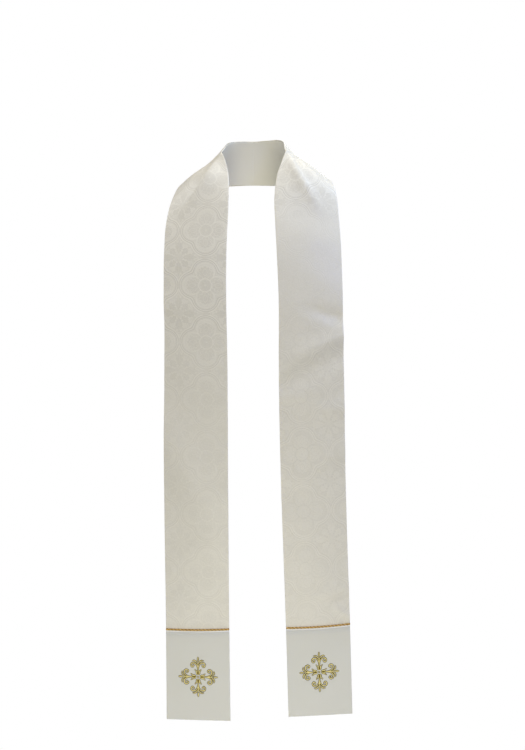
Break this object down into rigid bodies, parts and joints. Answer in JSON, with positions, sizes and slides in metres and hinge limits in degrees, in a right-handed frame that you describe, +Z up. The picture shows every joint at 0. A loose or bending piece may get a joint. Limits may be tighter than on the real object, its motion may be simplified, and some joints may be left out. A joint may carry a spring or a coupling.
{
  "type": "priest's stole",
  "caption": "Long damask band shaped over the shoulders as worn, with plain end panels, gold piping and embroidered crosses.",
  "frame": {"origin": "middle of the wearer's neck at its base, at the height where the neck meets the shoulders", "axes": "+Z up the wearer, -Y to the wearer's front, +X to the wearer's left"},
  "size_m": [0.3704, 0.242, 1.1538],
  "materials": {
    "damask": "cream polyester damask with a self-coloured medallion pattern, soft satin sheen",
    "end_satin": "plain ivory satin, dull side",
    "lining": "plain cream twill lining",
    "gold_cord": "two-ply twisted metallic cord, old gold",
    "gold_thread": "metallic embroidery thread in satin stitch, pale olive gold"
  },
  "bodies": {
    "root": {"damask_right": "damask", "end_right": "end_satin", "lining_right": "lining", "piping_right": "gold_cord", "cross_right": "gold_thread", "damask_left": "damask", "end_left": "end_satin", "lining_left": "lining", "piping_left": "gold_cord", "cross_left": "gold_thread"}
  },
  "joints": []
}
